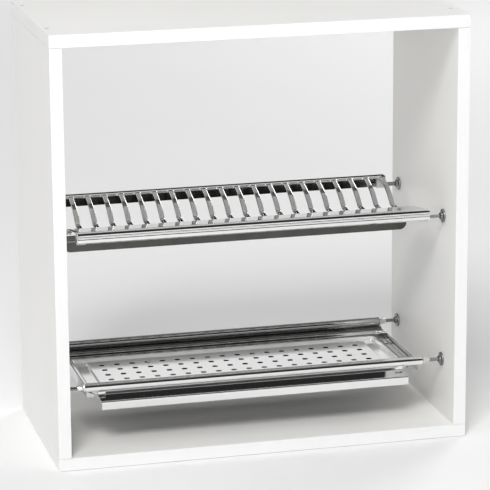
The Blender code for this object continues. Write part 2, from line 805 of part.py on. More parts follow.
def build_bars():
    """Side angles whose inner ledges carry the glass tray; the ledge stops at the apron."""
    reach = math.sqrt(TUBE_RADIUS ** 2 - (LOWER_PIN_HEIGHT - BAR_TOP_Z) ** 2)
    front = FRONT_PIN_Y + reach + GAP
    back = APRON_FOLD_Y - GAP
    for word, side in (("left", -1), ("right", 1)):
        outline = (
            (side * LEDGE_INNER_X, LEDGE_Z - SHEET),
            (side * BAR_OUTER_X, LEDGE_Z - SHEET),
            (side * BAR_OUTER_X, BAR_TOP_Z),
            (side * BAR_INNER_X, BAR_TOP_Z),
            (side * BAR_INNER_X, LEDGE_Z),
            (side * LEDGE_INNER_X, LEDGE_Z),
        )
        bar = add_object("glass_rack_" + word + "_bar", prism(outline, "Y", front, back), "steel")
        low_x, high_x = sorted((side * (LEDGE_INNER_X - OVERRUN), side * (BAR_OUTER_X + OVERRUN)))
        low = (low_x, APRON_FRONT_Y - GAP, LEDGE_Z - SHEET - OVERRUN)
        high = (high_x, back + OVERRUN, LEDGE_Z + GAP)
        boolean(bar, box(low, high))


def build_apron():
    """A folded strip under the back tube: a slope, a steep face and a ledge for the tray."""
    path = (
        (BACK_PIN_Y, APRON_TOP_Z),
        (APRON_STEEP_Y, APRON_TOP_Z - APRON_SLOPE_FALL),
        (APRON_FOLD_Y, LEDGE_Z),
        (APRON_FRONT_Y, LEDGE_Z),
    )
    end = RACK_END_X - APRON_END_INSET
    add_object("glass_rack_back_apron", prism(sheet_outline(path, SHEET), "X", -end, end), "steel")


# Glass tray


def build_glass_tray():
    """A pressed tray with a gutter round a raised, perforated panel."""
    wall = TRAY_OUTER_X - TRAY_RIM
    wall_front = TRAY_FRONT_Y + TRAY_RIM
    wall_back = TRAY_BACK_Y - TRAY_RIM
    radius = TRAY_CORNER - TRAY_RIM / 2
    panel = wall - GUTTER_WIDTH
    panel_front = wall_front + GUTTER_WIDTH / 2
    panel_back = wall_back - GUTTER_WIDTH / 2
    rings = (
        (TRAY_OUTER_X, TRAY_FRONT_Y, TRAY_BACK_Y, TRAY_CORNER, TRAY_TOP_Z),
        (wall, wall_front, wall_back, radius, TRAY_TOP_Z),
        (wall, wall_front, wall_back, radius, GUTTER_Z),
        (panel, panel_front, panel_back, radius, GUTTER_Z),
        (panel, panel_front, panel_back, radius, PANEL_Z),
    )
    middle_y = (panel_front + panel_back) / 2
    tray = add_object("glass_tray", pressed_tray(rings, TRAY_SHEET), "steel")
    holes = bmesh.new()
    half = HOLE_SIZE / 2
    columns = int(2 * panel / HOLE_PITCH_X)
    rows = int((panel_back - panel_front) / HOLE_PITCH_Y)
    for column in range(columns):
        x = (column - (columns - 1) / 2) * HOLE_PITCH_X
        for row in range(rows):
            y = middle_y + (row - (rows - 1) / 2) * HOLE_PITCH_Y
            low = (x - half, y - half, PANEL_Z - TRAY_SHEET - OVERRUN)
            high = (x + half, y + half, PANEL_Z + OVERRUN)
            add_box(holes, low, high)
    boolean(tray, holes)


# Drip tray


def build_drip_tray():
    """A shallow pressed tray whose side rims ride on the runners."""
    floor_z = DRIP_RIM_Z - DRIP_DEPTH + DRIP_SHEET
    rings = (
        (DRIP_WALL_X + DRIP_RIM, DRIP_FRONT_Y, DRIP_BACK_Y, DRIP_CORNER, DRIP_RIM_Z),
        (DRIP_WALL_X, DRIP_FRONT_Y + DRIP_RIM, DRIP_BACK_Y - DRIP_RIM, DRIP_CORNER / 2, DRIP_RIM_Z),
        (DRIP_WALL_X, DRIP_FRONT_Y + DRIP_RIM, DRIP_BACK_Y - DRIP_RIM, DRIP_CORNER / 2, floor_z),
    )
    add_object("drip_tray", pressed_tray(rings, DRIP_SHEET), "steel")


def drip_front_path():
    """Up behind the front panel, forward down its slope and over its rolled lip."""
    back = DRIP_FRONT_Y - GAP
    lip_low = DRIP_PANEL_TOP_Z - DRIP_LIP_DROP
    path = [(back, DRIP_RIM_Z - DRIP_SHEET), (back, DRIP_PANEL_TOP_Z)]
    for reach_share, height_share in DRIP_FRONT_SHARES:
        path.append((back - reach_share * DRIP_PANEL_REACH, lip_low + height_share * DRIP_LIP_HEIGHT))
    return path


def build_drip_front():
    path = drip_front_path()
    outline = sheet_outline(path, SHEET)
    add_object("drip_tray_front", prism(outline, "X", -DRIP_PANEL_X, DRIP_PANEL_X), "steel")
    back = path[1][0] - STOP_SETBACK
    low_z = height_at(path[1:3], back) + GAP
    for word, side in (("left", -1), ("right", 1)):
        low_x, high_x = sorted((side * (DRIP_PANEL_X - STOP_WIDTH), side * DRIP_PANEL_X))
        stop = box((low_x, back - SHEET, low_z), (high_x, back, low_z + STOP_HEIGHT))
        add_object("drip_tray_" + word + "_stop", stop, "steel")


def build_runners():
    """Angles under the side ledges whose shelves carry the drip tray's rims."""
    web_outer = LEDGE_INNER_X + RUNNER_WEB_INSET + SHEET
    shelf_z = DRIP_RIM_Z - DRIP_SHEET - GAP
    top_z = LEDGE_Z - SHEET - GAP
    back = APRON_FRONT_Y - GAP
    for word, side in (("left", -1), ("right", 1)):
        outline = (
            (side * (web_outer - RUNNER_SHELF), shelf_z - SHEET),
            (side * web_outer, shelf_z - SHEET),
            (side * web_outer, top_z),
            (side * (web_outer - SHEET), top_z),
            (side * (web_outer - SHEET), shelf_z),
            (side * (web_outer - RUNNER_SHELF), shelf_z),
        )
        shape = prism(outline, "Y", back - RUNNER_LENGTH, back)
        add_object("drip_tray_" + word + "_runner", shape, "steel")


def main():
    clear_scene()
    build_cabinet()
    build_screws()
    build_cups()
    build_pins()
    build_grid()
    build_front_rail()
    build_back_rail()
    build_bottom_bar()
    build_bushes()
    build_tubes()
    build_plugs()
    build_bars()
    build_apron()
    build_glass_tray()
    build_drip_tray()
    build_drip_front()
    build_runners()


main()
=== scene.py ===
"""Looks of the cabinet dish drainer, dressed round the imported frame.

Lengths are in metres in the frame's own axes: +X right, +Y back, +Z up.
The boards, edge bands, flat pins, bushes and stops are the frame's own shapes with soft
arrises. Every other piece is a surface worked out with numpy from the frame's boxes.
"""

import json
import math

import bmesh
import bpy
import numpy as np
from mathutils import Euler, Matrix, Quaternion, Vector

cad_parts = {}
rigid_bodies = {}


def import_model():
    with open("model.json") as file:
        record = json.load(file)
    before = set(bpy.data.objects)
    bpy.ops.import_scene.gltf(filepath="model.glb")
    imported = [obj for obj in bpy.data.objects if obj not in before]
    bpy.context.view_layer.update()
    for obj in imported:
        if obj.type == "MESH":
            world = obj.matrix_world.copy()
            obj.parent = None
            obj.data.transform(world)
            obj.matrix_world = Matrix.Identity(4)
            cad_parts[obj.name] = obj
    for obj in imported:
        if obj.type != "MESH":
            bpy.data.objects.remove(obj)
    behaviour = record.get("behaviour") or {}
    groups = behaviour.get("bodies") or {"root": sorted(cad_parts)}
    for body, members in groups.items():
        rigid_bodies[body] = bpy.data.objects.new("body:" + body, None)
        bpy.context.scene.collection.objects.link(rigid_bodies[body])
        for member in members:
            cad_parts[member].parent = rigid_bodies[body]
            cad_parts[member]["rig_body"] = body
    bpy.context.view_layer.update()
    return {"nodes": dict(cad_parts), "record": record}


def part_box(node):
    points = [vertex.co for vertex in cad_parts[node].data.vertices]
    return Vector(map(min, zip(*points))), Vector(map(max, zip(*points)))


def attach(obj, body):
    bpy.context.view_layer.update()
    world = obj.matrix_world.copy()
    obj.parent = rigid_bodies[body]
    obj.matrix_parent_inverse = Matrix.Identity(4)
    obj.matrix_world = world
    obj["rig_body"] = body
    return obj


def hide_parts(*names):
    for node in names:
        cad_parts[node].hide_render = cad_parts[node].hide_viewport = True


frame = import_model()

# Camera, found from the photograph's box corners
CAMERA_PLACE = (-0.919, -3.6505, 1.240)
CAMERA_TURN = math.radians(14.27)
CAMERA_TILT = math.radians(14.445)
CAMERA_ROLL = math.radians(-0.40)
FOCAL_PIXELS = 2664
PICTURE_PIXELS = 490
SENSOR_MM = 36
CLIP_NEAR = 0.05
CLIP_FAR = 60.0


def grey(level):
    """An even grey as a colour."""
    return (level, level, level, 1.0)


def warm_grey(level):
    """A grey with the boards' slight cream cast."""
    return (level, level * 0.993, level * 0.972, 1.0)


# Brightness of the surroundings by height, from straight down (0) to straight up (1): a
# low pale front, taller pale walls at both sides, and behind the cabinet a thin bright
# card with a softer one above it. The last two tables blend from front to walls and from
# walls to cards by depth, from the front (0) to the back (1).
FRONT = (
    (0.00, grey(1.0)),
    (0.58, grey(1.0)),
    (0.62, grey(0.02)),
    (0.88, grey(0.03)),
    (0.97, grey(0.20)),
)
WALLS = (
    (0.00, grey(1.0)),
    (0.70, grey(1.0)),
    (0.74, grey(0.02)),
    (0.88, grey(0.03)),
    (0.97, grey(0.20)),
)
CARD = (
    (0.00, grey(0.02)),
    (0.63, grey(0.02)),
    (0.635, grey(1.0)),
    (0.685, grey(1.0)),
    (0.695, grey(0.02)),
    (0.785, grey(0.02)),
    (0.805, grey(0.62)),
    (0.900, grey(0.50)),
    (0.930, grey(0.05)),
    (0.97, grey(0.20)),
)
FRONT_TO_WALLS = ((0.22, grey(0.0)), (0.40, grey(1.0)))
WALLS_TO_CARD = ((0.62, grey(0.0)), (0.76, grey(1.0)))

# The far floor and the sky that the camera sees: one pale tone from this far out
BACKDROP_LEVEL = 0.79
BACKDROP_START = 3.0
BACKDROP_END = 4.6
FLOOR_REACH = 8.0
FLOOR_LEVEL = -0.0005

# Studio lamps: name, place, aim, width and depth, power in watts
LAMPS = (
    ("key", (-1.5, -3.4, 4.3), (0.0, 0.0, 0.3), (1.8, 1.8), 196.0),
    ("front_fill", (-1.3, -4.0, 1.9), (0.0, 0.0, 0.1), (2.4, 1.0), 25.0),
    ("backdrop_lamp", (3.9, 3.9, 3.6), (2.6, 4.2, 0.0), (2.6, 2.6), 185.0),
    ("backdrop_left", (-2.4, 4.2, 3.2), (-1.8, 4.2, 0.0), (1.8, 1.8), 17.0),
    ("left_fill", (-3.2, 0.6, 1.5), (0.0, 0.2, 0.2), (1.6, 2.0), 5.0),
    ("overhead", (-1.3, -0.7, 3.6), (-0.6, -0.7, 0.0), (1.2, 1.2), 19.0),
)

# Sheet metal, and the gap between pieces that fit together
SHEET = 0.001
TRAY_SHEET = 0.0008
GLASS_TRAY_SHEET = 0.0005
GRID_SHEET = 0.0008
ARRIS = 0.00025
APRON_ARRIS = ARRIS / 3
BOARD_ARRIS = 0.0008
SEAT_GAP = 0.0003

# Plate rack, as in the frame's own pieces
RIB_COUNT = 21
RIB_WIDTH = 0.0075
RIB_ROLL = 0.0015
RIB_DROP = 0.003
RIB_END_MARGIN = 0.006
RIB_EASE = 0.004
SLOT_CORNER = 0.0032
SLOT_MARGIN = 0.003
BACK_STRIP = 0.014
TROUGH_DROP = 0.0305
PATH_SOFTNESS = 0.012
PATH_SAMPLES = 600
SLOPE_SPAN = 11
# Depth from the front rail to the back edge, and height above the trough's floor
RIB_OUTLINE_SHARES = (
    (0.052, 0.889),
    (0.309, 0.567),
    (0.3696, 0.492),
    (0.417, 0.354),
    (0.452, 0.174),
    (0.500, 0.000),
    (0.696, 0.000),
    (0.722, 0.174),
    (0.765, 0.436),
    (0.826, 0.721),
    (0.909, 0.938),
)
SLOT_FRONT_SHARE = 0.3696
RAIL_HEIGHT = 0.0175
RAIL_NOSE = 0.0105
RAIL_LAP = 0.011
RAIL_SOFTNESS = 0.0009
LAP_SOFTNESS = 0.0004
# Depth as a share of the nose and height as a share of the rail, from the lap downwards
RAIL_NOSE_SHARES = (
    (1.09, 0.905),
    (0.57, 0.976),
    (0.19, 0.918),
    (0.03, 0.765),
    (0.00, 0.647),
    (0.30, 0.529),
    (0.00, 0.400),
    (0.00, 0.141),
    (0.24, 0.012),
    (0.47, 0.000),
)
FLANGE_CORNER = 0.006
BAR_CORNER = 0.010
FOLD = 0.0016

# Glass rack
APRON_SLOPE = 0.012
APRON_STEEP = 0.002
APRON_FALL = 0.0054
APRON_SOFTNESS = 0.0012
LEDGE_WIDTH = 0.0128
APRON_CORNER = 0.004
TUBE_CHAMFER = 0.0004
TUBE_SIDES = 48
PLUG_SIDES = 40
PLUG_TAPER = 0.0105
PLUG_BORE = 0.0028
PLUG_TIP_WALL = 0.0011
PLUG_SOFTNESS = 0.002
# Way from the tube to the tip, and what is left of the tube's radius over the tip's
PLUG_SHAPE_SHARES = (
    (0.00, 1.00),
    (0.10, 0.97),
    (0.30, 0.62),
    (0.55, 0.30),
    (0.80, 0.10),
    (1.00, 0.00),
)

# Glass tray
TRAY_RIM = 0.006
TRAY_CORNER = 0.008
GUTTER_DEPTH = 0.0058
GUTTER_WIDTH = 0.0185
PANEL_RISE = 0.0038
PANEL_SLOPE = 0.001
PANEL_MARGIN = 0.003
PANEL_SOFTNESS = 0.0012
TRAY_SOFTNESS = 0.0022
# The photograph shows the holes larger than the frame's solids have them
HOLE_SIZE = 0.0078
HOLE_CORNER = 0.0022
HOLE_ROLL = 0.00015
HOLE_DROP = 0.0002
HOLE_COLUMNS = 18
HOLE_ROWS = 5
HOLE_PITCH_X = 0.023
HOLE_PITCH_Y = 0.0242

# Drip tray
DRIP_RIM = 0.0095
DRIP_HEM = 0.0012
DRIP_WALL_LEAN = 0.0005
DRIP_FLOOR_START = 0.012
DRIP_FLOOR_FLAT = 0.030
DRIP_SOFTNESS = (0.0008, 0.002, 0.003, 0.004)
DRIP_CORNER = 0.010
DRIP_FLOOR_CORNER = 0.004
DRIP_CORNER_SHARE_X = 0.08
DRIP_CORNER_SHARE_Y = 0.16
DRIP_FRONT_SOFTNESS = 0.0012
DRIP_LIP_HEIGHT = 0.012
DRIP_LIP_DROP = 0.0145
DRIP_REACH = 0.032
# Way forward from the tray and height above the lip's lower edge
DRIP_FRONT_SHARES = (
    (0.850, 0.933),
    (0.913, 1.025),
    (0.966, 0.983),
    (0.984, 0.833),
    (1.000, 0.000),
)
RUNNER_SHELF = 0.018

# Cups, pins and screws
CUP_RADIUS = 0.010
CUP_DISC = 0.0025
CUP_EDGE = 0.0004
CUP_DISH_SHARE = 0.86
CUP_FLARE = 0.0024
CUP_LENGTH = 0.0055
CUP_HUB = 0.0055
CUP_HUB_SHARE = 0.92
CUP_MOUTH_SHARE = 0.84
CUP_SOCKET = 0.0035
CUP_SOCKET_EDGE = 0.0003
CUP_FLOOR = 0.0011
CUP_DOWEL = 0.0025
CUP_DOWEL_LENGTH = 0.010
CUP_SIDES = 40
PIN_SIDES = 24
PIN_ROUND = 0.0008
PIN_END = 0.004
FLAT_PIN_ARRIS = 0.0004
SCREW_HEAD = 0.004
SCREW_HEAD_HEIGHT = 0.003
SCREW_EDGE_SHARE = 0.96
SCREW_EDGE_DEPTH_SHARE = 0.06
SCREW_SIDES = 24
SCREW_SOCKET = 0.002
SCREW_SOCKET_DEPTH = 0.002
SCREW_SOCKET_SIDES = 6
SCREW_SHANK = 0.002
SCREW_LENGTH = 0.045

# Points closer than WELD are joined. A bend takes up at most CORNER_LIMIT of a side, and a
# further point, GUARD beyond it or GUARD_LIMIT of the side, keeps the flat beside it flat.
WELD = 0.000002
CORNER_LIMIT = 0.45
GUARD = 0.0002
GUARD_LIMIT = 0.04

# Edges sharper than ARRIS_ANGLE are softened, and faces nearer than FLAT_ANGLE are merged
ARRIS_ANGLE = math.radians(50.0)
FLAT_ANGLE = math.radians(1.0)


# Shader sums


class Value:
    """A shader socket that takes part in Python sums: each sum adds its Math node."""

    def __init__(self, finish, socket):
        self.finish = finish
        self.socket = socket

    def maths(self, operation, first, second):
        return self.finish.add("ShaderNodeMath", {"operation": operation}, {0: first, 1: second})

    def __add__(self, other):
        return self.maths("ADD", self, other)

    def __radd__(self, other):
        return self.maths("ADD", other, self)

    def __sub__(self, other):
        return self.maths("SUBTRACT", self, other)

    def __rsub__(self, other):
        return self.maths("SUBTRACT", other, self)

    def __mul__(self, other):
        return self.maths("MULTIPLY", self, other)

    def __rmul__(self, other):
        return self.maths("MULTIPLY", other, self)


class Finish:
    """One material's nodes, or the world's."""

    def __init__(self, owner):
        self.owner = owner
        owner.use_nodes = True
        self.tree = owner.node_tree

    def add(self, kind, settings=None, sockets=None, out=0):
        """Add a node: its settings first, then the values or links of its sockets."""
        node = self.tree.nodes.new(kind)
        for name, value in (settings or {}).items():
            if name == "stops":
                ramp = node.color_ramp.elements
                while len(ramp) < len(value):
                    ramp.new(0.5)
                for element, (place, colour) in zip(ramp, value):
                    element.position = place
                    element.color = colour
            else:
                setattr(node, name, value)
        for name, value in (sockets or {}).items():
            self.feed(node.inputs[name], value)
        return Value(self, node.outputs[out])

    def feed(self, socket, value):
        """Link a socket to a Value, or set it to a plain number or colour."""
        if isinstance(value, Value):
            self.tree.links.new(value.socket, socket)
        else:
            socket.default_value = value

    def shade(self, **sockets):
        """Feed the Principled shader's sockets, named with low lines for spaces."""
        shader = self.tree.nodes["Principled BSDF"]
        for name, value in sockets.items():
            self.feed(shader.inputs[name.replace("_", " ")], value)
        return self.owner

    def noise(self, scale, stretch=(1.0, 1.0, 1.0), detail=2.0):
        """Noise between 0 and 1 on the object's own coordinates, in cells per metre."""
        place = self.add("ShaderNodeTexCoord", out="Object")
        stretched = self.add("ShaderNodeMapping", {}, {"Vector": place, "Scale": stretch})
        sockets = {"Vector": stretched, "Scale": scale, "Detail": detail}
        return self.add("ShaderNodeTexNoise", {}, sockets)

    def mix(self, factor, first, second):
        """Blend two colours. A Mix node's colours are sockets 6 and 7, and its result is 2."""
        sockets = {0: factor, 6: first, 7: second}
        return self.add("ShaderNodeMix", {"data_type": "RGBA"}, sockets, 2)

    def ramp(self, factor, stops):
        """Read a colour from a table of (place, colour) stops."""
        return self.add("ShaderNodeValToRGB", {"stops": stops}, {"Fac": factor})

    def seen(self):
        """1 for what the camera, metal and glass see, and 0 for the light that falls on things."""
        rays = ("Is Camera Ray", "Is Glossy Ray", "Is Transmission Ray")
        camera, glossy, through = [self.add("ShaderNodeLightPath", out=ray) for ray in rays]
        return camera + glossy + through

    def bump(self, height, distance, strength):
        """A normal that follows a height of up to distance metres."""
        sockets = {"Height": height, "Distance": distance, "Strength": strength}
        return self.add("ShaderNodeBump", {}, sockets, "Normal")


def white_board(name, level):
    """Melamine faced board: a fine pearl grain, faint clouding and a satin sheen."""
    finish = Finish(bpy.data.materials.new(name))
    clouds = finish.noise(7.0)
    grain = finish.noise(1400.0, detail=1.0)
    colour = finish.mix(clouds, warm_grey(level - 0.008), warm_grey(level + 0.006))
    return finish.shade(
        Base_Color=colour,
        Roughness=0.36 + 0.10 * clouds,
        Normal=finish.bump(grain, 0.00002, 0.5),
    )


def edging(name):
    """Edging strip: whiter and smoother than the board, with a faint drawn grain."""
    finish = Finish(bpy.data.materials.new(name))
    streaks = finish.noise(90.0, (6.0, 1.0, 0.4))
    colour = finish.mix(streaks, grey(0.85), grey(0.87))
    return finish.shade(
        Base_Color=colour,
        Roughness=0.26 + 0.08 * streaks,
        Normal=finish.bump(streaks, 0.00002, 0.3),
    )


def steel(name, grain, roughness, level=0.87, metallic=1.0):
    """Rolled stainless steel: faint rolling lines along the grain and soft smears.

    Less than fully metallic is a satin sheet, whose fine grain scatters light evenly.
    """
    finish = Finish(bpy.data.materials.new(name))
    lines = finish.noise(60.0, grain, 3.0)
    smears = finish.noise(28.0, detail=3.0)
    pale = (level + 0.03, level + 0.03, level + 0.02, 1.0)
    colour = finish.mix(smears, grey(level - 0.03), pale)
    return finish.shade(
        Base_Color=colour,
        Metallic=metallic,
        Roughness=roughness + 0.03 * smears + 0.005 * lines,
        Normal=finish.bump(lines, 0.0000005, 0.5),
    )


def plated(name, level, roughness):
    """Plated metal with a slightly uneven satin face."""
    finish = Finish(bpy.data.materials.new(name))
    patches = finish.noise(160.0, detail=3.0)
    colour = finish.mix(patches, grey(level - 0.04), grey(level + 0.04))
    return finish.shade(
        Base_Color=colour,
        Metallic=1.0,
        Roughness=roughness + 0.10 * patches,
        Normal=finish.bump(patches, 0.00002, 0.4),
    )


def moulded(name, level):
    """Moulded plastic with a fine spark-eroded texture."""
    finish = Finish(bpy.data.materials.new(name))
    texture = finish.noise(1800.0, detail=1.0)
    colour = finish.mix(texture, grey(level - 0.02), grey(level + 0.02))
    return finish.shade(
        Base_Color=colour,
        Roughness=0.38 + 0.10 * texture,
        Normal=finish.bump(texture, 0.00003, 0.5),
    )


# Stretch of the rolling lines, which run along X or along Y
ALONG_X = (0.03, 8.0, 8.0)
ALONG_Y = (8.0, 0.03, 8.0)

BOARD = white_board("white_melamine", level=0.86)
EDGING = edging("white_edging")
STEEL = steel("bright_steel", ALONG_X, roughness=0.05)
# Painted shade: the side bars and runners are the same stainless steel as the rest, at a lower
# level so that their reflections come out darker.
BAR_STEEL_PAINTED_SHADE = steel("bar_steel_painted_shade", ALONG_Y, roughness=0.05, level=0.50)
# Painted shade: the plate rack's sheet is the same stainless steel at a lower level, so that the
# ribs' reflections come out darker.
GRID_STEEL_PAINTED_SHADE = steel("grid_steel_painted_shade", ALONG_X, roughness=0.05, level=0.56)
SATIN_STEEL = steel("satin_steel", ALONG_X, roughness=0.12, metallic=0.66)
# Painted shade: the glass rack's back apron and back tube are the same stainless steel at a lower
# level, which dims their reflections and the lamp's bright line on the tube.
MID_STEEL_PAINTED_SHADE = steel("mid_steel_painted_shade", ALONG_X, roughness=0.08, level=0.42)
# Painted shade: the drip tray is the same stainless steel made nearly black, so that it reads as
# lying in shade and the glass tray's holes show dark.
DRIP_STEEL_PAINTED_SHADE = steel("drip_steel_painted_shade", ALONG_X, roughness=0.10, level=0.12)
# Painted dark reflection: the back rail and the plate rack's bottom bar are the same stainless
# steel made nearly black, standing in for the dark surroundings that they reflect.
REAR_STEEL_PAINTED_DARK_REFLECTION = steel("rear_steel_painted_dark_reflection", ALONG_X, roughness=0.10, level=0.09)
PLATED = plated("nickel_plate", level=0.27, roughness=0.12)
ZINC = plated("zinc_plate", level=0.62, roughness=0.28)
BUSH = moulded("bush_plastic", level=0.60)


# Surfaces


def quads(rows, columns, wrap, first):
    """Four-sided faces over a grid of points, numbered from first.

    A face's normal is the cross product of its column step and its row step. With wrap
    the last column joins the first.
    """
    row = np.arange(rows - 1)[:, None]
    column = np.arange(columns if wrap else columns - 1)[None, :]
    after = (column + 1) % columns
    near, far = row * columns, (row + 1) * columns
    corners = np.stack([near + column, near + after, far + after, far + column], axis=-1)
    return first + corners.reshape(-1, 4)


def rounded(points, reach, steps):
    """Soften a path's inner corners, in any number of dimensions.

    Each corner P becomes (1-t)^2 A + 2t(1-t) P + t^2 B, where A and B lie on its two
    sides, at most reach from P and less than half a side away. A further point just
    beyond A and one beyond B keep the shading of the straight sides flat.
    """
    points = np.asarray(points, float)
    reaches = np.broadcast_to(reach, len(points) - 2)
    t = np.linspace(0.0, 1.0, steps + 1)[:, None]
    out = [points[:1]]
    for limit, before, corner, after in zip(reaches, points[:-2], points[1:-1], points[2:]):
        back, ahead = before - corner, after - corner
        length, width = np.linalg.norm(back), np.linalg.norm(ahead)
        near = min(limit / length, CORNER_LIMIT)
        far = min(limit / width, CORNER_LIMIT)
        start, end = corner + back * near, corner + ahead * far
        out.append([start + back * min(GUARD / length, GUARD_LIMIT)])
        out.append((1 - t) ** 2 * start + 2 * t * (1 - t) * corner + t ** 2 * end)
        out.append([end + ahead * min(GUARD / width, GUARD_LIMIT)])
    return np.concatenate(out + [points[-1:]])


def lengths_along(path):
    """Distance from the start of a path to each of its points."""
    steps = np.linalg.norm(np.diff(path, axis=0), axis=1)
    return np.concatenate([[0.0], np.cumsum(steps)])


def read_path(path, places):
    """Points of a path at given distances from its start."""
    along = lengths_along(path)
    axes = [np.interp(places, along, path[:, k]) for k in range(path.shape[1])]
    return np.stack(axes, axis=-1)


def shifted(path, distance):
    """The path moved to its left by a distance, each point along its own normal."""
    tangent = np.gradient(path, axis=0)
    tangent /= np.linalg.norm(tangent, axis=1)[:, None]
    return path + distance * np.stack([-tangent[:, 1], tangent[:, 0]], axis=-1)


def edge_samples(corner_share, corner_steps, middle_steps):
    """Places from -1 to 1 along a side, close together over its two corners."""
    corner = 1 - np.linspace(0.0, corner_share, corner_steps + 1)
    middle = np.linspace(corner_share - 1, 1 - corner_share, middle_steps + 1)[1:-1]
    return np.concatenate([-corner, middle, corner[::-1]])


def square_loop(across, along):
    """Anticlockwise points round the square from -1 to 1, one list of places for each side."""
    ones_across = np.ones(len(across) - 1)
    ones_along = np.ones(len(along) - 1)
    sides = (
        (across[:-1], -ones_across),
        (ones_along, along[:-1]),
        (across[:0:-1], ones_across),
        (-ones_along, along[:0:-1]),
    )
    return np.concatenate([np.stack(side, axis=-1) for side in sides])


def round_loop(square, centre, half, corner):
    """The square loop scaled to a rectangle whose corners are drawn in to arcs.

    A point p goes to core + corner * (p - core) / |p - core|, where core is p clamped to
    the rectangle less its corner radius.
    """
    half = np.asarray(half, float)
    point = square * half
    core = np.clip(point, corner - half, half - corner)
    away = point - core
    length = np.maximum(np.linalg.norm(away, axis=1), 1e-12)[:, None]
    return centre + core + corner * away / length


def hole_rows(square, cell, hole, corner, roll, drop, steps=4):
    """Rows of (x, y, depth) from a cell's edge to the lower rim of its rolled hole.

    The roll is a quarter circle: at angle a it stands roll (1 - sin a) outside the hole
    and roll (1 - cos a) below the sheet. One more row outside it keeps the sheet flat.
    """
    rows = [np.column_stack([square * cell, np.zeros(len(square))])]
    flat = roll + GUARD
    loop = round_loop(square, 0.0, np.array(hole) + flat, corner + flat)
    rows.append(np.column_stack([loop, np.zeros(len(loop))]))
    for angle in np.linspace(0.0, math.pi / 2, steps + 1):
        out = roll * (1 - math.sin(angle))
        loop = round_loop(square, 0.0, np.array(hole) + out, corner + out)
        rows.append(np.column_stack([loop, np.full(len(loop), roll * (1 - math.cos(angle)))]))
    rows.append(rows[-1] + np.array([0.0, 0.0, drop - roll]))
    return np.array(rows)


def weld(mesh, outward=False):
    """Join the seams between patches, and turn a closed shape's faces outwards."""
    shape = bmesh.new()
    shape.from_mesh(mesh)
    bmesh.ops.remove_doubles(shape, verts=shape.verts, dist=WELD)
    bmesh.ops.dissolve_degenerate(shape, edges=shape.edges, dist=WELD / 2)
    if outward:
        bmesh.ops.recalc_face_normals(shape, faces=shape.faces)
    shape.to_mesh(mesh)
    shape.free()


def body_of(node):
    """The name of the body that a frame node rides on."""
    return frame["nodes"][node]["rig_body"]


def slot_of(node):
    """The material slot that the record gives a node."""
    rows = frame["record"]["subparts"]
    return next(row["material_slot"] for row in rows if row["node"] == node)


def dress(node, patches, material, caps=(), outward=False, thickness=0.0, arris=0.0, angle=40.0):
    """Make the finished piece that stands for a frame node.

    patches are (grid of points, wrap) pairs, caps are lists of point numbers. A positive
    thickness grows along the normals and a negative one against them.
    """
    points, faces, count = [], [], 0
    for grid, wrap in patches:
        rows, columns = grid.shape[:2]
        faces += quads(rows, columns, wrap, count).tolist()
        points.append(grid.reshape(-1, 3))
        count += rows * columns
    mesh = bpy.data.meshes.new(node + "_finished")
    faces += [list(cap) for cap in caps]
    mesh.from_pydata(np.concatenate(points).tolist(), [], faces)
    weld(mesh, outward)
    finish_piece(node, mesh, material, thickness, arris, angle)


def finish_piece(node, mesh, material, thickness=0.0, arris=0.0, angle=40.0):
    """Give a mesh its material, wall and arrises, and put it in its frame node's place."""
    piece = bpy.data.objects.new(node + "_finished", mesh)
    bpy.context.scene.collection.objects.link(piece)
    mesh.materials.append(material)
    mesh.shade_smooth()
    mesh.set_sharp_from_angle(angle=math.radians(angle))
    if thickness:
        wall = piece.modifiers.new("wall", "SOLIDIFY")
        wall.thickness = abs(thickness)
        wall.offset = math.copysign(1.0, thickness)
        wall.use_even_offset = True
    if arris:
        edge = piece.modifiers.new("arris", "BEVEL")
        edge.width = arris
        edge.segments = 2
        edge.limit_method = "ANGLE"
        edge.angle_limit = ARRIS_ANGLE
        edge.harden_normals = True
    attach(piece, body_of(node))
    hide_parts(node)
    slot_of(node)


def box_of(node):
    """The lower and upper corners of a frame node's box."""
    low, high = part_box(node)
    return np.array(low), np.array(high)


def softened(node, material, arris):
    """A frame node's own shape, merged to flat faces and given soft arrises."""
    mesh = frame["nodes"][node].data.copy()
    mesh.name = node + "_finished"
    mesh.materials.clear()
    shape = bmesh.new()
    shape.from_mesh(mesh)
    bmesh.ops.remove_doubles(shape, verts=shape.verts, dist=WELD)
    bmesh.ops.dissolve_limit(
        shape, angle_limit=FLAT_ANGLE, verts=shape.verts, edges=shape.edges
    )
    shape.to_mesh(mesh)
    shape.free()
    finish_piece(node, mesh, material, arris=arris, angle=30.0)


def turned(profile, centre, direction, sides):
    """Turn (along, radius) points about a line parallel to X through the centre."""
    profile = np.asarray(profile, float)
    angle = np.linspace(0.0, math.tau, sides, endpoint=False)
    along = centre[0] + direction * profile[:, :1] + 0.0 * angle
    across = centre[1] + profile[:, 1:] * np.cos(angle)
    up = centre[2] + profile[:, 1:] * np.sin(angle)
    return np.stack([along, across, up], axis=-1)


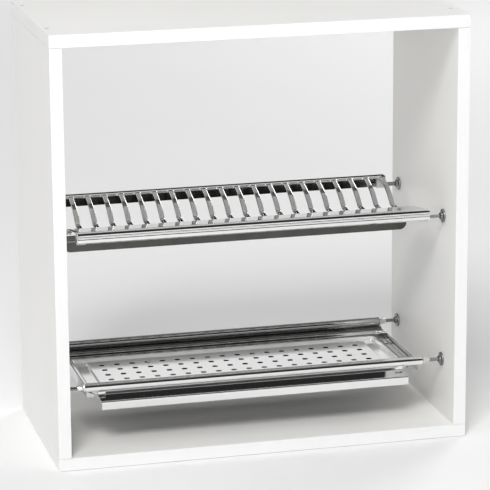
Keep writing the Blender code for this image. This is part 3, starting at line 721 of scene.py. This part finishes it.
def folded(node, path, half_length, thickness, material, corners=(0.0, 0.0), arris=ARRIS):
    """A folded sheet along X: its metal lies to the left of a path of (y, z) points.

    Near each end of the path the sheet is drawn in by r - sqrt(r^2 - (r - s)^2), s being
    the distance from that end, which rounds its corners with radius r.
    """
    path = np.asarray(path, float)
    along = lengths_along(path)
    places = [along]
    quarter = 1 - np.cos(np.linspace(0.0, math.pi / 2, 7))
    for radius, flip in ((corners[0], False), (corners[1], True)):
        if radius:
            near = radius * quarter
            places.append(along[-1] - near if flip else near)
    places = np.unique(np.concatenate(places).round(7))
    length = np.full(len(places), half_length)
    for radius, distance in ((corners[0], places), (corners[1], along[-1] - places)):
        if radius:
            inside = np.clip(radius - distance, 0.0, radius)
            length -= radius - np.sqrt(radius ** 2 - inside ** 2)
    points = read_path(path, places)
    across = np.array([-1.0, 1.0])
    x = length[:, None] * across[None, :]
    grid = np.stack([x, points[:, :1] + 0 * x, points[:, 1:] + 0 * x], axis=-1)
    dress(node, [(grid, False)], material, thickness=thickness, arris=arris)


def drawn(node, path, start, end, thickness, material):
    """A folded sheet along Y, from start to end.

    Its metal lies to the left of a path of (x, z) points, looking from start to end.
    """
    path = np.asarray(path, float)
    y = np.array([start, end])[None, :] + 0 * path[:, :1]
    grid = np.stack([path[:, :1] + 0 * y, y, path[:, 1:] + 0 * y], axis=-1)
    dress(node, [(grid, False)], material, thickness=thickness, arris=ARRIS)


# Cabinet


def build_cabinet():
    """The four boards, and the edge bands with finer arrises."""
    for node in ("top_board", "bottom_board", "left_side", "right_side"):
        softened(node, BOARD, BOARD_ARRIS)
    for node in ("top_edge_band", "bottom_edge_band", "left_edge_band", "right_edge_band"):
        softened(node, EDGING, BOARD_ARRIS / 2)


def build_screws():
    """Countersunk screws turned about Z, with a six-sided socket in the head.

    The rings are (radius, height, faceted). A faceted ring's radius is multiplied by
    cos(s/2) / cos(s/2 - w), where s is a sixth of a turn and w the angle from the nearest
    middle of a sector, which gives a hexagon.
    """
    angle = np.linspace(0.0, math.tau, SCREW_SIDES, endpoint=False)
    sector = math.tau / SCREW_SOCKET_SIDES
    wave = np.abs((angle / sector) % 1 - 0.5) * sector
    hexagon = math.cos(sector / 2) / np.cos(sector / 2 - wave)
    rings = (
        (0.0, -SCREW_SOCKET_DEPTH, False),
        (SCREW_SOCKET, -SCREW_SOCKET_DEPTH, True),
        (SCREW_SOCKET, 0.0, True),
        (SCREW_HEAD * SCREW_EDGE_SHARE, 0.0, False),
        (SCREW_HEAD, -SCREW_HEAD_HEIGHT * SCREW_EDGE_DEPTH_SHARE, False),
        (SCREW_SHANK, -SCREW_HEAD_HEIGHT, False),
        (SCREW_SHANK, -SCREW_LENGTH, False),
        (0.0, -SCREW_LENGTH, False),
    )
    for level, up in (("top", 1.0), ("bottom", -1.0)):
        for word in ("front_left", "back_left", "front_right", "back_right"):
            node = level + "_screw_" + word
            low, high = box_of(node)
            centre = (low + high) / 2
            height = high[2] if up > 0 else low[2]
            grid = []
            for radius, depth, faceted in rings:
                reach = radius * (hexagon if faceted else 1.0) + 0 * angle
                grid.append(np.stack([
                    centre[0] + reach * np.cos(angle),
                    centre[1] + reach * np.sin(angle),
                    height + up * depth + 0 * angle,
                ], axis=-1))
            dress(node, [(np.array(grid), True)], ZINC, outward=True, angle=30.0)


# Wall cups and pins


def build_cups():
    """A dished disc whose hub flares out of it, turned about the pin's axis."""
    dowel = [(-CUP_DOWEL_LENGTH, 0.0), (-CUP_DOWEL_LENGTH, CUP_DOWEL), (0.0, CUP_DOWEL)]
    disc = [
        (0.0, CUP_RADIUS - CUP_EDGE),
        (CUP_EDGE, CUP_RADIUS),
        (CUP_DISC - 2 * CUP_EDGE, CUP_RADIUS),
        (CUP_DISC - CUP_EDGE / 2, CUP_RADIUS - CUP_EDGE),
    ]
    flare = (
        (CUP_DISC, CUP_RADIUS * CUP_DISH_SHARE),
        (CUP_DISC, CUP_HUB),
        (CUP_LENGTH - CUP_EDGE, CUP_HUB * CUP_HUB_SHARE),
    )
    mouth = [
        (CUP_LENGTH, CUP_HUB * CUP_MOUTH_SHARE),
        (CUP_LENGTH, CUP_SOCKET + CUP_SOCKET_EDGE),
        (CUP_LENGTH - CUP_SOCKET_EDGE, CUP_SOCKET),
        (CUP_FLOOR, CUP_SOCKET),
        (CUP_FLOOR, 0.0),
    ]
    profile = np.concatenate([dowel, disc, rounded(flare, CUP_FLARE, 8), mouth])
    for node in frame["nodes"]:
        if node.endswith("_cup"):
            low, high = box_of(node)
            centre = (low + high) / 2
            left = centre[0] < 0
            # The disc's back lies on the board, one dowel's length in from the cup's end.
            centre[0] = low[0] + CUP_DOWEL_LENGTH if left else high[0] - CUP_DOWEL_LENGTH
            grid = turned(profile, centre, 1.0 if left else -1.0, CUP_SIDES)
            dress(node, [(grid, True)], PLATED, outward=True, angle=35.0)


def build_pins():
    """Flat bars at the plate rack's back, and round pins with softened ends elsewhere."""
    for node in frame["nodes"]:
        if not node.endswith("_pin"):
            continue
        low, high = box_of(node)
        if node.startswith("upper_back"):
            softened(node, PLATED, FLAT_PIN_ARRIS)
            continue
        centre = (low + high) / 2
        half = (high[0] - low[0]) / 2
        radius = (high[2] - low[2]) / 2
        end = rounded(((half, 0.0), (half, radius), (half - PIN_END, radius)), PIN_ROUND, 5)
        profile = np.concatenate([end * (-1.0, 1.0), end[::-1]])
        grid = turned(profile, centre, 1.0, PIN_SIDES)
        dress(node, [(grid, True)], PLATED, outward=True, angle=50.0)


# Plate rack


def grid_path():
    """The pressed sheet's top, from its front edge to its back edge, as (y, z) points."""
    low, high = box_of("plate_rack_grid")
    rail_low = box_of("plate_rack_front_rail")[0]
    depth = high[1] - rail_low[1]
    floor = high[2] - TROUGH_DROP
    points = [(rail_low[1] + y * depth, floor + z * TROUGH_DROP) for y, z in RIB_OUTLINE_SHARES]
    points += [(high[1] - BACK_STRIP, high[2]), (high[1], high[2])]
    slot_front = rail_low[1] + SLOT_FRONT_SHARE * depth
    slot_back = high[1] - BACK_STRIP
    return rounded(points, PATH_SOFTNESS, 8), slot_front, slot_back


def smoothed(values, span):
    """Running mean over an odd span, with the end values repeated."""
    padded = np.pad(values, span // 2, "edge")
    return np.convolve(padded, np.ones(span) / span, "valid")


def bender(path, length):
    """A function that carries flat (x, distance, depth) points onto a curved path.

    A point at depth d below the path's point (y, z), where the path runs in direction
    (a, b), goes to (y + b d, z - a d).
    """
    fine = np.linspace(0.0, length, PATH_SAMPLES)
    line = read_path(path, fine)
    slope = np.gradient(line, fine, axis=0)
    slope = np.stack([smoothed(slope[:, k], SLOPE_SPAN) for k in (0, 1)], axis=-1)
    slope /= np.linalg.norm(slope, axis=1)[:, None]

    def bend(flat):
        x, distance, depth = np.moveaxis(flat, -1, 0)
        y = np.interp(distance, fine, line[:, 0])
        z = np.interp(distance, fine, line[:, 1])
        run = np.interp(distance, fine, slope[:, 0])
        rise = np.interp(distance, fine, slope[:, 1])
        return np.stack([x, y + rise * depth, z - run * depth], axis=-1)

    return bend


def build_grid():
    """One sheet: slotted between the ribs, each slot's edge rolled down all round."""
    path, slot_front, slot_back = grid_path()
    along = lengths_along(path)
    start = float(np.interp(slot_front, path[:, 0], along))
    end = float(np.interp(slot_back, path[:, 0], along))
    bend = bender(path, along[-1])
    half_x = box_of("plate_rack_grid")[1][0]
    pitch = 2 * (half_x - RIB_END_MARGIN) / (RIB_COUNT - 1)
    cell = np.array([pitch / 2, (end - start) / 2 + SLOT_MARGIN])
    hole = np.array([(pitch - RIB_WIDTH) / 2, (end - start) / 2])
    across = edge_samples(SLOT_CORNER / hole[0], 3, 4)
    lengthwise = edge_samples(SLOT_CORNER / hole[1], 3, 56)
    square = square_loop(across, lengthwise)
    rows = hole_rows(square, cell, hole, SLOT_CORNER, RIB_ROLL, RIB_DROP)
    middle = (start + end) / 2
    patches = []
    columns = []
    for index in range(RIB_COUNT - 1):
        centre = (index - (RIB_COUNT - 2) / 2) * pitch
        patches.append((bend(rows + np.array([centre, middle, 0.0])), True))
        columns.append(centre + across * cell[0])
    columns = np.unique(np.concatenate(columns).round(8))
    front = np.linspace(0.0, middle - cell[1], 22)
    back = np.linspace(middle + cell[1], along[-1], 5)
    for places in (front, back):
        x, v = np.meshgrid(columns, places)
        patches.append((bend(np.stack([x, v, 0 * x], axis=-1)), False))
    places = np.unique(np.concatenate([front, middle + lengthwise * cell[1], back]).round(8))
    patches += end_margins(places, start, end, half_x, bend)
    # The sheet takes the darkened steel, a painted shade on its reflections.
    dress("plate_rack_grid", patches, GRID_STEEL_PAINTED_SHADE, thickness=-GRID_SHEET, angle=70.0)


def end_margins(places, start, end, half_x, bend):
    """The sheet beyond its outer ribs' centre lines, rolled down beside the slots only.

    The roll comes in over a length RIB_EASE by the share 3s^2 - 2s^3.
    """
    inside = np.minimum(places - start, end - places)
    share = np.clip(inside / RIB_EASE, 0.0, 1.0)
    share = share * share * (3 - 2 * share)
    rib_x = half_x - RIB_END_MARGIN
    edge = half_x + share * (rib_x + RIB_WIDTH / 2 - half_x)
    roll = RIB_ROLL * share
    columns = [(np.full(len(places), rib_x), 0 * roll)]
    for angle in np.linspace(0.0, math.pi / 2, 5):
        columns.append((edge - roll * (1 - math.sin(angle)), roll * (1 - math.cos(angle))))
    columns.append((edge, RIB_DROP * share))
    x = np.stack([column[0] for column in columns], axis=-1)
    depth = np.stack([column[1] for column in columns], axis=-1)
    v = places[:, None] + 0 * x
    right = bend(np.stack([x, v, depth], axis=-1))
    left = (right * (-1.0, 1.0, 1.0))[:, ::-1]
    return [(right, False), (left, False)]


def build_front_rail():
    """A grooved nose, with a lap that runs back under the pressed sheet."""
    low, high = box_of("plate_rack_front_rail")
    nose = [
        (low[1] + depth * RAIL_NOSE, low[2] + height * RAIL_HEIGHT)
        for depth, height in RAIL_NOSE_SHARES
    ]
    step = box_of("plate_rack_grid")[0][1] - SEAT_GAP
    sheet = shifted(grid_path()[0], -SHEET - SEAT_GAP)
    ends = (step + RAIL_LAP, step + 2 * SEAT_GAP)
    lap = [(y, float(np.interp(y, sheet[:, 0], sheet[:, 1]))) for y in ends]
    softness = [LAP_SOFTNESS] + [RAIL_SOFTNESS] * (len(nose) - 1)
    folded("plate_rack_front_rail", rounded(lap + nose, softness, 6), high[0], SHEET, STEEL)


def build_back_rails():
    """The angle with its hanging flange, and the upright bar under the trough."""
    # Both pieces take the near-black steel, a painted dark reflection.
    low, high = box_of("plate_rack_back_rail")
    path = rounded(((high[1], low[2]), (high[1], high[2]), (low[1], high[2])), FOLD, 6)
    folded("plate_rack_back_rail", path, high[0], SHEET, REAR_STEEL_PAINTED_DARK_REFLECTION, (FLANGE_CORNER, 0.0))

    low, high = box_of("plate_rack_bottom_bar")
    path = ((high[1], low[2]), (high[1], high[2]))
    folded("plate_rack_bottom_bar", path, high[0], SHEET, REAR_STEEL_PAINTED_DARK_REFLECTION, (BAR_CORNER, 0.0))


def build_bushes():
    """The guide bushes of the plate rack's pins."""
    for node in frame["nodes"]:
        if node.endswith("_bush"):
            softened(node, BUSH, ARRIS)


# Glass rack


def build_tubes():
    """Hollow tubes along X, turned, with a chamfer at each end."""
    # The back tube takes the darkened steel, a painted shade on its reflections.
    tubes = (("glass_rack_front_tube", STEEL), ("glass_rack_back_tube", MID_STEEL_PAINTED_SHADE))
    for node, material in tubes:
        low, high = box_of(node)
        centre = (low + high) / 2
        half = high[0]
        radius = (high[2] - low[2]) / 2
        wall = radius - SHEET
        profile = (
            (-half, wall),
            (-half, radius - TUBE_CHAMFER),
            (TUBE_CHAMFER - half, radius),
            (half - TUBE_CHAMFER, radius),
            (half, radius - TUBE_CHAMFER),
            (half, wall),
            (-half, wall),
        )
        grid = turned(profile, centre, 1.0, TUBE_SIDES)
        dress(node, [(grid, True)], material, outward=True, angle=30.0)


def build_plugs():
    """A hollow plug whose outside sweeps in from the tube's wall to the pin."""
    tube_low, tube_high = box_of("glass_rack_front_tube")
    radius = (tube_high[2] - tube_low[2]) / 2
    spigot = radius - SHEET - SEAT_GAP
    tip = PLUG_BORE + PLUG_TIP_WALL
    for node in frame["nodes"]:
        if not node.endswith("_plug"):
            continue
        low, high = box_of(node)
        centre = (low + high) / 2
        side = math.copysign(1.0, centre[0])
        centre[0] = side * tube_high[0]
        inner = abs(low[0] if side > 0 else high[0]) - tube_high[0]
        sweep = [
            (SEAT_GAP + share * (PLUG_TAPER - 2 * SEAT_GAP), tip + rise * (radius - tip))
            for share, rise in PLUG_SHAPE_SHARES
        ]
        profile = np.concatenate([
            [(inner, PLUG_BORE), (inner, spigot), (SEAT_GAP, spigot)],
            rounded(sweep, PLUG_SOFTNESS, 4),
            [(PLUG_TAPER, tip - SEAT_GAP), (PLUG_TAPER, PLUG_BORE), (inner, PLUG_BORE)],
        ])
        grid = turned(profile, centre, side, PLUG_SIDES)
        dress(node, [(grid, True)], STEEL, outward=True, angle=35.0)


def build_bars():
    """Side angles with a ledge for the glass tray; the web runs on past the ledge's end."""
    apron_low = box_of("glass_rack_back_apron")[0]
    for node, side in (("glass_rack_left_bar", -1.0), ("glass_rack_right_bar", 1.0)):
        low, high = box_of(node)
        outer = max(abs(low[0]), abs(high[0]))
        ledge_end = apron_low[1] - SEAT_GAP
        section = ((outer - LEDGE_WIDTH, low[2]), (outer, low[2]), (outer, high[2]))
        path = rounded(section, FOLD, 6)
        # The ledge leaves off where the apron's ledge begins, and the web goes on. They
        # part at the first point that lies well inside the fold.
        bend = int(np.argmax(path[:, 0] > outer - FOLD * 0.9))
        ledge_y = np.where(np.arange(len(path)) < bend, ledge_end, high[1])
        start, end = (low[1], ledge_y) if side > 0 else (ledge_y, low[1])
        y = np.stack([start + 0 * path[:, 0], end + 0 * path[:, 0]], axis=-1)
        x = side * path[:, :1] + 0 * y
        grid = np.stack([x, y, path[:, 1:] + 0 * y], axis=-1)
        # The bars take the darkened steel, a painted shade on their reflections.
        dress(node, [(grid[:, ::-1], False)], BAR_STEEL_PAINTED_SHADE, thickness=SHEET, arris=ARRIS)


def build_apron():
    """A sloping strip, a short steep fall and the ledge that the glass tray rests on."""
    low, high = box_of("glass_rack_back_apron")
    steep = high[1] - APRON_SLOPE
    fold = steep - APRON_STEEP
    ledge = box_of("glass_rack_left_bar")[0][2] + SHEET
    path = ((high[1], high[2]), (steep, high[2] - APRON_FALL), (fold, ledge), (low[1], ledge))
    path = rounded(path, APRON_SOFTNESS, 5)
    corners = (APRON_CORNER, 0.0)
    # The apron takes the darkened steel, a painted shade on its reflections.
    folded("glass_rack_back_apron", path, high[0], SHEET, MID_STEEL_PAINTED_SHADE, corners, APRON_ARRIS)


def tray_holes(across, centre_y, panel):
    """The raised panel: one cell for each hole, and the places of the cells' own points."""
    cell = np.array([HOLE_PITCH_X, HOLE_PITCH_Y]) / 2
    hole = np.array([HOLE_SIZE, HOLE_SIZE]) / 2
    square = square_loop(across, across)
    rows = hole_rows(square, cell, hole, HOLE_CORNER, HOLE_ROLL, HOLE_DROP, 3)
    xs = (np.arange(HOLE_COLUMNS) - (HOLE_COLUMNS - 1) / 2) * HOLE_PITCH_X
    ys = (np.arange(HOLE_ROWS) - (HOLE_ROWS - 1) / 2) * HOLE_PITCH_Y
    patches = []
    for x in xs:
        for y in ys:
            points = rows + np.array([x, y + centre_y, 0.0])
            points[..., 2] = panel - points[..., 2]
            patches.append((points, True))
    places = [
        np.unique((middles[:, None] + across * reach).round(8))
        for middles, reach in ((xs, cell[0]), (ys, cell[1]))
    ]
    return patches, places, cell * np.array([HOLE_COLUMNS, HOLE_ROWS])


def tray_section(top, gutter, panel):
    """Inset from the tray's edge and height, from the rim's edge to the raised panel."""
    foot = TRAY_RIM + GUTTER_WIDTH
    return rounded(
        (
            (0.0, top),
            (TRAY_RIM, top),
            (TRAY_RIM, gutter),
            (foot, gutter),
            (foot + PANEL_SLOPE, panel),
            (foot + PANEL_MARGIN, panel),
        ),
        (TRAY_SOFTNESS, TRAY_SOFTNESS, TRAY_SOFTNESS, PANEL_SOFTNESS),
        5,
    )


def build_glass_tray():
    """A pressed tray: rim, wall, gutter and a raised panel with rolled square holes.

    The gutter is half as wide at the front and back as at the ends.
    """
    low, high = box_of("glass_tray")
    centre = np.array([0.0, (low[1] + high[1]) / 2])
    reach = np.array([high[0], (high[1] - low[1]) / 2])
    gutter = high[2] - GUTTER_DEPTH
    panel = gutter + PANEL_RISE
    across = edge_samples(2 * HOLE_CORNER / HOLE_SIZE, 3, 2)
    patches, (xs, ys), field = tray_holes(across, centre[1], panel)
    field_loop = square_loop(xs / field[0], ys / field[1])
    rings = []
    for inset, z in tray_section(high[2], gutter, panel):
        in_gutter = min(max(inset - TRAY_RIM, 0.0), GUTTER_WIDTH)
        corner = TRAY_CORNER - min(inset, TRAY_RIM) / 2
        half = reach - np.array([inset, inset - in_gutter / 2])
        loop = round_loop(field_loop, centre, half, corner)
        rings.append(np.column_stack([loop, np.full(len(loop), z)]))
    inner = field_loop * field + centre
    rings.append(np.column_stack([inner, np.full(len(inner), panel)]))
    patches.append((np.array(rings), True))
    dress("glass_tray", patches, SATIN_STEEL, thickness=-GLASS_TRAY_SHEET, angle=60.0)


# Drip tray


def build_drip_tray():
    """A pressed tray: hem, rim, wall and floor, as rounded loops that step inwards."""
    low, high = box_of("drip_tray")
    centre = np.array([0.0, (low[1] + high[1]) / 2])
    reach = np.array([high[0], (high[1] - low[1]) / 2])
    floor = low[2] + TRAY_SHEET
    across = edge_samples(DRIP_CORNER_SHARE_X, 8, 24)
    along = edge_samples(DRIP_CORNER_SHARE_Y, 8, 12)
    square = square_loop(across, along)
    section = rounded(
        (
            (0.0, high[2] - DRIP_HEM),
            (0.0, high[2]),
            (DRIP_RIM, high[2]),
            (DRIP_RIM + DRIP_WALL_LEAN, floor),
            (DRIP_RIM + DRIP_FLOOR_START, floor),
            (DRIP_RIM + DRIP_FLOOR_FLAT, floor),
        ),
        DRIP_SOFTNESS,
        5,
    )
    rings = []
    for inset, z in section:
        corner = max(DRIP_CORNER - inset / 2, DRIP_FLOOR_CORNER)
        loop = round_loop(square, centre, reach - inset, corner)
        rings.append(np.column_stack([loop, np.full(len(loop), z)]))
    grid = np.array(rings)
    count = grid.shape[1]
    last = (len(rings) - 1) * count
    caps = [list(range(last, last + count))]
    # The tray takes the near-black steel, a painted shade.
    dress("drip_tray", [(grid, True)], DRIP_STEEL_PAINTED_SHADE, caps=caps, thickness=-TRAY_SHEET, angle=50.0)


def build_drip_front():
    """A strip that rises from the tray, slopes forward and ends in a rolled lip."""
    low, high = box_of("drip_tray_front")
    back, top = high[1:]
    lip_low = top - DRIP_LIP_DROP
    tray_top = box_of("drip_tray")[1][2]
    path = [(back, tray_top - TRAY_SHEET), (back, top)]
    path += [
        (back - depth * DRIP_REACH, lip_low + height * DRIP_LIP_HEIGHT)
        for depth, height in DRIP_FRONT_SHARES
    ]
    path = rounded(path, DRIP_FRONT_SOFTNESS, 6)
    folded("drip_tray_front", path, high[0], SHEET, STEEL)
    for node in ("drip_tray_left_stop", "drip_tray_right_stop"):
        softened(node, STEEL, ARRIS)


def build_runners():
    """Angles along Y whose shelves carry the drip tray's rims."""
    for node, side in (("drip_tray_left_runner", -1.0), ("drip_tray_right_runner", 1.0)):
        low, high = box_of(node)
        outer = max(abs(low[0]), abs(high[0]))
        section = ((outer - RUNNER_SHELF, low[2]), (outer, low[2]), (outer, high[2]))
        path = rounded(section, FOLD, 6) * (side, 1.0)
        start, end = (high[1], low[1]) if side > 0 else (low[1], high[1])
        # The runners take the darkened steel, a painted shade on their reflections.
        drawn(node, path, start, end, SHEET, BAR_STEEL_PAINTED_SHADE)


# Studio


def build_floor():
    """A pale floor with faint clouding.

    Far out it turns into an even pale backdrop, but only for what the camera, metal and
    glass see: it sends no more light to the part than a plain floor.
    """
    corners = ((-1, -1), (1, -1), (1, 1), (-1, 1))
    points = [(x * FLOOR_REACH, y * FLOOR_REACH, FLOOR_LEVEL) for x, y in corners]
    mesh = bpy.data.meshes.new("floor")
    mesh.from_pydata(points, [], [(0, 1, 2, 3)])
    floor = bpy.data.objects.new("floor", mesh)
    bpy.context.scene.collection.objects.link(floor)
    finish = Finish(bpy.data.materials.new("floor_paper"))
    paper = finish.noise(3.0)
    colour = finish.mix(paper, grey(0.86), grey(0.88))
    mesh.materials.append(finish.shade(Base_Color=colour, Roughness=0.7))
    place = finish.add("ShaderNodeTexCoord", out="Object")
    length = {"operation": "LENGTH"}
    distance = finish.add("ShaderNodeVectorMath", length, {"Vector": place}, "Value")
    span = {"Value": distance, "From Min": BACKDROP_START, "From Max": BACKDROP_END}
    far = finish.add("ShaderNodeMapRange", {"interpolation_type": "SMOOTHSTEP"}, span, "Result")
    backdrop = finish.add("ShaderNodeEmission", {}, {"Color": grey(BACKDROP_LEVEL)})
    lit = Value(finish, finish.tree.nodes["Principled BSDF"].outputs["BSDF"])
    surface = finish.add("ShaderNodeMixShader", {}, {0: far * finish.seen(), 1: lit, 2: backdrop})
    finish.feed(finish.tree.nodes["Material Output"].inputs["Surface"], surface)


def area_light(name, place, target, size, power):
    """A rectangular lamp that faces its target."""
    light = bpy.data.lights.new(name, "AREA")
    light.shape = "RECTANGLE"
    light.size, light.size_y = size
    light.energy = power
    lamp = bpy.data.objects.new(name, light)
    bpy.context.scene.collection.objects.link(lamp)
    lamp.location = place
    aim = np.array(target) - np.array(place)
    flat = math.hypot(aim[0], aim[1])
    turn = math.atan2(aim[1], aim[0]) - math.pi / 2
    lamp.rotation_euler = (math.atan2(flat, -aim[2]), 0.0, turn)


def build_studio():
    """The surroundings that light the part, the plain sky for the camera, and the lamps.

    A direction's height and depth, each from -1 to 1, are carried to 0 to 1 for the tables.
    """
    world = bpy.data.worlds.new("studio")
    bpy.context.scene.world = world
    finish = Finish(world)
    way = finish.add("ShaderNodeTexCoord", out="Generated")
    height = finish.add("ShaderNodeSeparateXYZ", {}, {"Vector": way}, "Z") * 0.5 + 0.5
    depth = finish.add("ShaderNodeSeparateXYZ", {}, {"Vector": way}, "Y") * 0.5 + 0.5
    front, walls, card = [finish.ramp(height, table) for table in (FRONT, WALLS, CARD)]
    room = finish.mix(finish.ramp(depth, FRONT_TO_WALLS), front, walls)
    room = finish.mix(finish.ramp(depth, WALLS_TO_CARD), room, card)
    camera = finish.add("ShaderNodeLightPath", out="Is Camera Ray")
    background = finish.tree.nodes["Background"]
    finish.feed(background.inputs["Color"], finish.mix(camera, room, grey(BACKDROP_LEVEL)))
    for lamp in LAMPS:
        area_light(*lamp)


def build_camera():
    """The photograph's camera: a turn about Z, a tilt and a small roll."""
    camera = bpy.data.cameras.new("camera")
    camera.sensor_width = SENSOR_MM
    camera.lens = FOCAL_PIXELS * SENSOR_MM / PICTURE_PIXELS
    camera.clip_start = CLIP_NEAR
    camera.clip_end = CLIP_FAR
    holder = bpy.data.objects.new("camera", camera)
    bpy.context.scene.collection.objects.link(holder)
    holder.location = CAMERA_PLACE
    holder.rotation_mode = "QUATERNION"
    turn = Euler((math.pi / 2 - CAMERA_TILT, 0.0, -CAMERA_TURN)).to_quaternion()
    holder.rotation_quaternion = turn @ Quaternion((0.0, 0.0, 1.0), CAMERA_ROLL)
    bpy.context.scene.camera = holder


build_cabinet()
build_screws()
build_cups()
build_pins()
build_grid()
build_front_rail()
build_back_rails()
build_bushes()
build_tubes()
build_plugs()
build_bars()
build_apron()
build_glass_tray()
build_drip_tray()
build_drip_front()
build_runners()
build_floor()
build_studio()
build_camera()
bpy.context.scene.view_settings.view_transform = "Standard"
